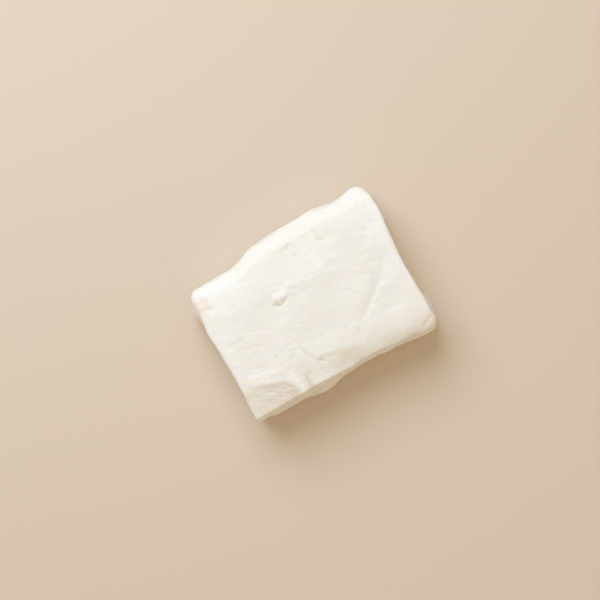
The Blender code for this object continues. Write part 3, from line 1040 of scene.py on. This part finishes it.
        depth = np.clip(np.minimum(self.width / 2 - np.abs(y), np.minimum(z, self.height - z)), 0.0, None)
        from_end = np.clip(self.length / 2 - np.abs(x), 0.0, None)
        end = self.end_radius(x, y)
        near = np.maximum(depth, from_end) < end
        corner = np.maximum(np.hypot(end - depth, end - from_end), NO_LENGTH)
        reach = np.where(near, reach - (end - (end - depth) * end / corner - depth), reach)
        from_end = np.where(near, end - (end - from_end) * end / corner, from_end)
        return np.stack([
            np.copysign(self.length / 2 - from_end, x),
            inner_y + off_y / length * reach,
            inner_z + off_z / length * reach,
        ], axis=1)

    def pushed_out(self, points: Array) -> Array:
        """Moves the four sides to the outlines of the real block.

        A side's offset counts in full at the side and fades away with the cube of the share of the way
        to the opposite side.

        Args:
            points: Points of the rounded box, one a row.

        Returns:
            The moved points.
        """
        x, y, z = points.T
        east, north = x / self.length + 0.5, y / self.width + 0.5
        to_east = east**3 * self.east.offset(y, z, self)
        to_west = (1.0 - east) ** 3 * self.west.offset(y, z, self)
        to_north = north**3 * self.north.offset(x, z, self)
        to_south = (1.0 - north) ** 3 * self.south.offset(x, z, self)
        return np.stack([x + to_east - to_west, y + to_north - to_south, z], axis=1)

    def slow_height(self, x: Array, y: Array) -> Array:
        """Adds up the sink towards the cloth side and the slow waves of the top.

        Args:
            x: East-west places.
            y: North-south places.

        Returns:
            How far the top stands above or below the block's height.
        """
        total = self.north_sink.at(y)
        for length, direction, phase, depth in self.top_waves:
            travel = turned(x, y, MIDDLE, direction)[0]
            total = total + depth * np.sin(math.tau * travel / length + phase)
        return total

    def form_height(self, x: Array, y: Array) -> tuple[Array, Array]:
        """Adds up the named forms of the top.

        The places are first moved about by noise, so that every line wanders and every oval is uneven,
        as torn and pressed curd is. The forms' places were read off their lit and dark northern flanks,
        which lead their middles by a little, so all of them move that much south.

        Args:
            x: East-west places.
            y: North-south places.

        Returns:
            How far the forms raise or lower the top, and how much painted shade (above 0) or painted
            highlight (below 0) they lay on.
        """
        flat = np.stack([x, y, np.zeros(x.shape)], axis=1) / MILLIMETRE
        wander = [layered_noise(flat, self.wander_size, seed, layers=2) for seed in self.wander_seeds]
        moved_x = flat[:, 0] + self.wander_depth * wander[0]
        moved_y = flat[:, 1] + self.wander_depth * wander[1] + self.lit_side_lead
        rise, painted_shading = np.zeros(x.shape), np.zeros(x.shape)
        for form in self.relief:
            near = form.near(moved_x, moved_y)
            rise[near] += form.height(moved_x[near], moved_y[near])
            # each form's painted shade, or below 0 its painted highlight
            painted_shading[near] += form.painted_shading(moved_x[near], moved_y[near])
        return rise * MILLIMETRE, painted_shading

    def grain(self, points: Array, normals: Array) -> Array:
        """Works out the small unevenness of the skin, outwards along its normals.

        Curd hills are noise whose cells are longer along the streaks of the pressed curd. On the cut
        sides thin level layers are noise that is stretched along the side. On the cloth side wider
        waves stand in for the cloth's wrinkles.

        Args:
            points: The skin's points, one a row.
            normals: The outward directions there.

        Returns:
            The distance to move each point by.
        """
        upright = 1.0 - smooth_step(*self.level_facing, np.abs(normals[:, 2]))
        cloth = upright * smooth_step(*self.cloth_facing, normals[:, 1])
        cut = upright - cloth
        x, y, z = points.T
        streaked = np.stack([*turned(x, y, MIDDLE, self.streak_turn), z], axis=1)
        hills = sum(
            depth * gradient_noise(streaked, size, self.curd_seed + i)
            for i, (size, depth) in enumerate(self.curd_noise)
        )
        layers = self.layer_depth * layered_noise(points, self.layer_size, self.layer_seed, layers=2)
        wrinkles = layered_noise(points, self.cloth_wave_size, self.cloth_seed, layers=2)
        return hills + cut * layers + cloth * (self.cloth_wave_depth * wrinkles)

    def build(self, material: bpy.types.Material) -> bpy.types.Object:
        """Works out the skin, keeps it inside the solid's box, and makes the piece.

        The top's relief fades with the square of the height, so it leaves the foot alone. What lies less
        than the settled height above the floor rests on it, and the rest of the underside, mostly to
        the north, stays up to about a millimetre above it. The forms' painted shade and highlight come in
        near the top, and the shelves' painted shade and highlight only where the skin faces south, away
        from the light.

        Args:
            material: The curd finish.

        Returns:
            The finished block.
        """
        lattice, cells, foot = box_net(self.cells, self.foot_rings)
        points = self.pushed_out(self.rounded(self.box_points(lattice)))
        share = points[:, 2] / self.height
        rise, painted_shading = self.form_height(points[:, 0], points[:, 1])
        points[:, 2] += (self.slow_height(points[:, 0], points[:, 1]) + rise) * share**2
        centre = (points[:, :2].min(axis=0) + points[:, :2].max(axis=0)) / 2.0
        points[:, :2] -= centre
        normals = point_normals(points, cells)
        points += normals * self.grain(points, normals)[:, None]
        points[points[:, 2] < self.settled, 2] = 0.0
        low, high = (np.array(corner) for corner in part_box(CAD_NODE))
        points = np.clip(points, low, high)
        piece = mesh_object("cheese_block", points, [*cells.tolist(), foot.tolist()], material)
        # painted shade and highlight of the forms, and of the shelves' steps on the south-facing skin
        painted_shading = painted_shading * smooth_step(*self.tint_from, share)
        seams = sum(shelf.seam(points[:, 0], share) for shelf in self.south.shelves)
        painted_shading = painted_shading + seams * smooth_step(*self.seam_facing, -normals[:, 1])
        store(piece, "painted_shading", np.clip(painted_shading, -1.0, 1.0))
        moved = (-centre / MILLIMETRE).round(3)
        log.info("cheese_block: %d points, centre moved by %s mm", len(points), moved)
        return piece

    def dress(self, piece: bpy.types.Object) -> None:
        """Fixes the piece to the frame in place of the solid."""
        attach(piece, BODY)
        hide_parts(CAD_NODE)


def add_node(tree: Tree, kind: str, **values: object) -> Node:
    """Adds a shader node and sets it up.

    Args:
        tree: The node tree.
        kind: The node's type name.
        **values: A node setting or an input by its name, with underscores for spaces.

    Returns:
        The new node.
    """
    node = tree.nodes.new(kind)
    for name, value in values.items():
        if hasattr(node, name):
            setattr(node, name, value)
        else:
            node.inputs[name.replace("_", " ")].default_value = value
    return node


def start_group(name: str, scales: dict[str, float], outputs: tuple[str, ...]) -> tuple[Tree, Node, Node]:
    """Starts a shader group that reads a vector and some scales, and puts out numbers.

    Args:
        name: The group's name.
        scales: Its scale inputs, each with its usual value.
        outputs: Its outputs' names.

    Returns:
        The group's tree, the node that holds its inputs, and the node that takes its outputs.
    """
    tree = bpy.data.node_groups.new(name, "ShaderNodeTree")
    tree.interface.new_socket("Vector", in_out="INPUT", socket_type="NodeSocketVector")
    for scale, value in scales.items():
        socket = tree.interface.new_socket(scale, in_out="INPUT", socket_type="NodeSocketFloat")
        socket.default_value = value
    for output in outputs:
        tree.interface.new_socket(output, in_out="OUTPUT", socket_type="NodeSocketFloat")
    return tree, add_node(tree, "NodeGroupInput"), add_node(tree, "NodeGroupOutput")


def group_noise(tree: Tree, given: Node, scale: str, detail: float, roughness: float) -> Socket:
    """Adds noise that reads the group's vector and one of its scales.

    Args:
        tree: The group's tree.
        given: The node that holds its inputs.
        scale: The name of the scale input.
        detail: How many finer layers the noise has.
        roughness: How strong each finer layer is.

    Returns:
        The noise, from 0 to 1.
    """
    noise = add_node(tree, "ShaderNodeTexNoise", Detail=detail, Roughness=roughness)
    tree.links.new(given.outputs["Vector"], noise.inputs["Vector"])
    tree.links.new(given.outputs[scale], noise.inputs["Scale"])
    return noise.outputs["Fac"]


def curd_tone_group() -> Tree:
    """Builds the shader group for the curd's uneven colour.

    Cream is slow noise stretched into patches, and Curd is quicker noise with a sharp rise, as pale
    grains pressed into each other.

    Returns:
        The node group, with the inputs Vector, Patch Scale and Curd Scale, and the outputs Cream and
        Curd.
    """
    scales = {"Patch Scale": 60.0, "Curd Scale": 300.0}
    tree, given, result = start_group("curd_tone", scales, ("Cream", "Curd"))
    patches = group_noise(tree, given, "Patch Scale", detail=3.0, roughness=0.55)
    cream = add_node(tree, "ShaderNodeMapRange", From_Min=0.35, From_Max=0.68)
    grains = group_noise(tree, given, "Curd Scale", detail=2.0, roughness=0.5)
    curd = add_node(tree, "ShaderNodeMapRange", From_Min=0.48, From_Max=0.66)
    tree.links.new(patches, cream.inputs["Value"])
    tree.links.new(cream.outputs["Result"], result.inputs["Cream"])
    tree.links.new(grains, curd.inputs["Value"])
    tree.links.new(curd.outputs["Result"], result.inputs["Curd"])
    return tree


def curd_grain_group(fine_share: float = 0.33) -> Tree:
    """Builds the shader group for the fine grain of the curd's surface.

    The height is coarse noise plus a share of fine noise.

    Args:
        fine_share: How strong the fine noise is beside the coarse noise.

    Returns:
        The node group, with the inputs Vector, Coarse Scale and Fine Scale, and the output Height.
    """
    scales = {"Coarse Scale": 420.0, "Fine Scale": 1500.0}
    tree, given, result = start_group("curd_grain", scales, ("Height",))
    coarse = group_noise(tree, given, "Coarse Scale", detail=2.0, roughness=0.5)
    fine = group_noise(tree, given, "Fine Scale", detail=2.0, roughness=0.6)
    both = add_node(tree, "ShaderNodeMath", operation="MULTIPLY_ADD")
    factor, share, addend = both.inputs
    share.default_value = fine_share
    tree.links.new(fine, factor)
    tree.links.new(coarse, addend)
    tree.links.new(both.outputs["Value"], result.inputs["Height"])
    return tree


@dataclass(frozen=True)
class CurdFinish:
    """Moist white curd, a little see-through, with cream patches, painted shade in its hollows and painted
    highlight on its raised curd.
    """

    name: str = "moist_curd"
    white: Colour = (0.915, 0.885, 0.825, 1.0)
    cream: Colour = (0.900, 0.855, 0.775, 1.0)
    pale: Colour = (0.935, 0.912, 0.865, 1.0)
    # the painted shade colour, darker and yellow, and the painted highlight colour, paler
    painted_shade: Colour = (0.780, 0.690, 0.520, 1.0)
    painted_highlight: Colour = (0.965, 0.958, 0.925, 1.0)
    patch_scale: float = 62.0
    curd_scale: float = 310.0
    cream_strength: float = 0.55
    curd_strength: float = 0.35
    roughness: Band = (0.50, 0.62)
    refraction: float = 1.38
    translucence: float = 0.70
    glow_depth: float = 0.0042
    glow_colour: Triple = (1.0, 0.74, 0.42)
    grain_depth: float = 0.00012

    def mixed(self, tree: Tree, base: Socket, colour: Colour, mask: Socket, strength: float) -> Socket:
        """Lays one colour over another through a mask.

        Args:
            tree: The material's node tree.
            base: The colour below.
            colour: The colour laid over it.
            mask: Where it is laid, from 0 to 1.
            strength: How much of it is laid there.

        Returns:
            The mixed colour's socket.
        """
        share = add_node(tree, "ShaderNodeMath", operation="MULTIPLY")
        share.inputs[1].default_value = strength
        tree.links.new(mask, share.inputs[0])
        blend = add_node(tree, "ShaderNodeMix", data_type="RGBA")
        blend.inputs[MIX_OVER].default_value = colour
        tree.links.new(share.outputs["Value"], blend.inputs[MIX_SHARE])
        tree.links.new(base, blend.inputs[MIX_BELOW])
        return blend.outputs[MIX_RESULT]

    def material(self, tone: Tree, grain: Tree) -> bpy.types.Material:
        """Builds the finish's shader.

        The painted shading attribute lays on the painted shade colour where it is above 0, and the painted
        highlight colour below 0.

        Args:
            tone: The group that gives the colour masks.
            grain: The group that gives the fine height.

        Returns:
            The new material.
        """
        material = bpy.data.materials.new(self.name)
        material.use_nodes = True
        tree = material.node_tree
        shader = tree.nodes["Principled BSDF"]
        link = tree.links.new
        where = add_node(tree, "ShaderNodeTexCoord").outputs["Object"]

        scales = {"Patch_Scale": self.patch_scale, "Curd_Scale": self.curd_scale}
        masks = add_node(tree, "ShaderNodeGroup", node_tree=tone, **scales)
        link(where, masks.inputs["Vector"])
        painted_shading = add_node(tree, "ShaderNodeAttribute", attribute_name="painted_shading")
        white = add_node(tree, "ShaderNodeRGB")
        white.outputs[0].default_value = self.white
        colour = self.mixed(tree, white.outputs[0], self.cream, masks.outputs["Cream"], self.cream_strength)
        colour = self.mixed(tree, colour, self.pale, masks.outputs["Curd"], self.curd_strength)
        # painted shade where the attribute is above 0, painted highlight where it is below 0
        colour = self.mixed(tree, colour, self.painted_shade, painted_shading.outputs["Fac"], 1.0)
        colour = self.mixed(tree, colour, self.painted_highlight, painted_shading.outputs["Fac"], -1.0)
        link(colour, shader.inputs["Base Color"])

        wet = add_node(tree, "ShaderNodeMapRange", To_Min=self.roughness[1], To_Max=self.roughness[0])
        link(masks.outputs["Cream"], wet.inputs["Value"])
        link(wet.outputs["Result"], shader.inputs["Roughness"])

        fine = add_node(tree, "ShaderNodeGroup", node_tree=grain)
        link(where, fine.inputs["Vector"])
        bump = add_node(tree, "ShaderNodeBump", Strength=1.0, Distance=self.grain_depth)
        link(fine.outputs["Height"], bump.inputs["Height"])
        link(bump.outputs["Normal"], shader.inputs["Normal"])

        shader.inputs["Metallic"].default_value = 0.0
        shader.inputs["IOR"].default_value = self.refraction
        shader.inputs["Subsurface Weight"].default_value = self.translucence
        shader.inputs["Subsurface Radius"].default_value = self.glow_colour
        shader.inputs["Subsurface Scale"].default_value = self.glow_depth
        return material


@dataclass(frozen=True)
class Lamp:
    """A soft round lamp that looks at the block's foot.

    Its azimuth is anticlockwise from +X and its elevation above the floor, both in degrees.
    """

    name: str
    azimuth: float
    elevation: float
    distance: float
    size: float
    power: float
    colour: Triple

    def hang(self) -> None:
        """Hangs the lamp in the scene."""
        data = bpy.data.lights.new(self.name, "AREA")
        data.shape = "DISK"
        data.size = self.size
        data.energy = self.power
        data.color = self.colour
        lamp = bpy.data.objects.new(self.name, data)
        around, up = math.radians(self.azimuth), math.radians(self.elevation)
        lamp.location = (
            self.distance * math.cos(up) * math.cos(around),
            self.distance * math.cos(up) * math.sin(around),
            self.distance * math.sin(up),
        )
        lamp.rotation_euler = (math.pi / 2 - up, 0.0, around + math.pi / 2)
        bpy.context.scene.collection.objects.link(lamp)


@dataclass
class Studio:
    """The plain floor, the soft light and the camera that looks straight down."""

    floor_half: float = 1.5
    floor_gap: float = 0.0001
    floor_colour: Colour = (0.737, 0.617, 0.488, 1.0)
    floor_roughness: float = 0.6
    floor_shine: float = 0.2
    world_colour: Colour = (1.0, 0.852, 0.649, 1.0)
    world_strength: float = 0.51
    key: Lamp = Lamp(
        "key", azimuth=92.0, elevation=50.0, distance=1.20, size=0.95, power=11.8,
        colour=(0.708, 0.831, 1.0),
    )
    fill: Lamp = Lamp(
        "fill", azimuth=-85.0, elevation=40.0, distance=1.00, size=0.60, power=0.9,
        colour=(1.0, 0.86, 0.66),
    )
    camera_place: Triple = (-0.00455, 0.00579, 0.8913)
    camera_turn: float = -30.8
    lens: float = 100.0

    def floor(self) -> bpy.types.Object:
        """Makes the flat floor that the block stands on, a plain plane a hair below its foot.

        Returns:
            The floor.
        """
        material = bpy.data.materials.new("plain_floor")
        material.use_nodes = True
        shader = material.node_tree.nodes["Principled BSDF"]
        shader.inputs["Base Color"].default_value = self.floor_colour
        shader.inputs["Roughness"].default_value = self.floor_roughness
        shader.inputs["Specular IOR Level"].default_value = self.floor_shine
        half = self.floor_half
        corners = np.array([[-half, -half, 0.0], [half, -half, 0.0], [half, half, 0.0], [-half, half, 0.0]])
        corners[:, 2] = -self.floor_gap
        floor = mesh_object("floor", corners, [[0, 1, 2, 3]], material)
        return floor

    def light(self) -> None:
        """Sets the pale world, the soft key beyond the cloth side and the weak warm fill opposite."""
        world = bpy.data.worlds.new("pale_room")
        world.use_nodes = True
        background = world.node_tree.nodes["Background"]
        background.inputs["Color"].default_value = self.world_colour
        background.inputs["Strength"].default_value = self.world_strength
        bpy.context.scene.world = world
        self.key.hang()
        self.fill.hang()

    def camera(self) -> None:
        """Hangs the camera straight above the block, turned as in the picture, and sets plain colours."""
        data = bpy.data.cameras.new("camera")
        data.lens = self.lens
        camera = bpy.data.objects.new("camera", data)
        camera.location = self.camera_place
        camera.rotation_euler = (0.0, 0.0, math.radians(self.camera_turn))
        bpy.context.scene.collection.objects.link(camera)
        bpy.context.scene.camera = camera
        bpy.context.scene.view_settings.view_transform = "Standard"


def main() -> None:
    """Builds the block and the studio."""
    logging.basicConfig(level=logging.INFO, format="%(message)s")
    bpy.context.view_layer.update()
    tone, grain = curd_tone_group(), curd_grain_group()
    block = CheeseBlock()
    piece = block.build(CurdFinish().material(tone, grain))
    block.dress(piece)
    studio = Studio()
    studio.floor()
    studio.light()
    studio.camera()


if __name__ == "__main__":
    main()
